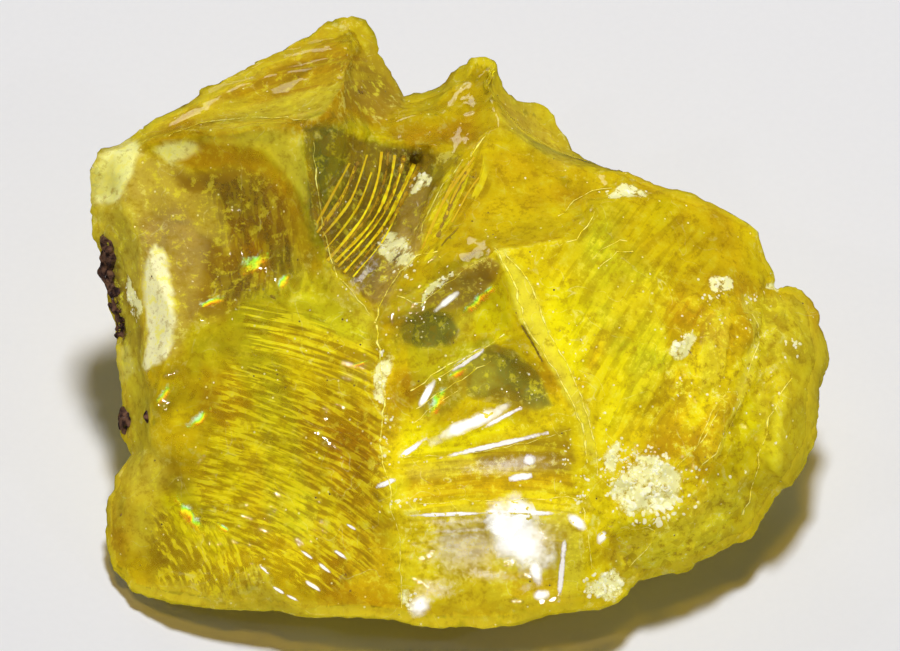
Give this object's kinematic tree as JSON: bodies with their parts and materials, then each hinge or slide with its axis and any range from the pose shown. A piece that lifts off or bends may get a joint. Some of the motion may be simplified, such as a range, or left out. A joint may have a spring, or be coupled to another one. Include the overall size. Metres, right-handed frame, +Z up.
{
  "type": "sulfur specimen",
  "caption": "Broken lump of clear lemon-yellow native sulfur with shell-like fracture faces, a raised horn and a flat foot to rest on.",
  "frame": {"origin": "on the surface that the stone rests on, under the middle of its bounding box", "axes": "+X along the stone's longest extent, to the right of its display side; +Y away from the display side; +Z up, across its shortest extent"},
  "size_m": [0.05, 0.0408, 0.0244],
  "materials": {
    "sulfur": "resinous gloss on fresh breaks, cloudy where bruised"
  },
  "bodies": {
    "root": {"sulfur_crystal": "sulfur"}
  },
  "joints": []
}
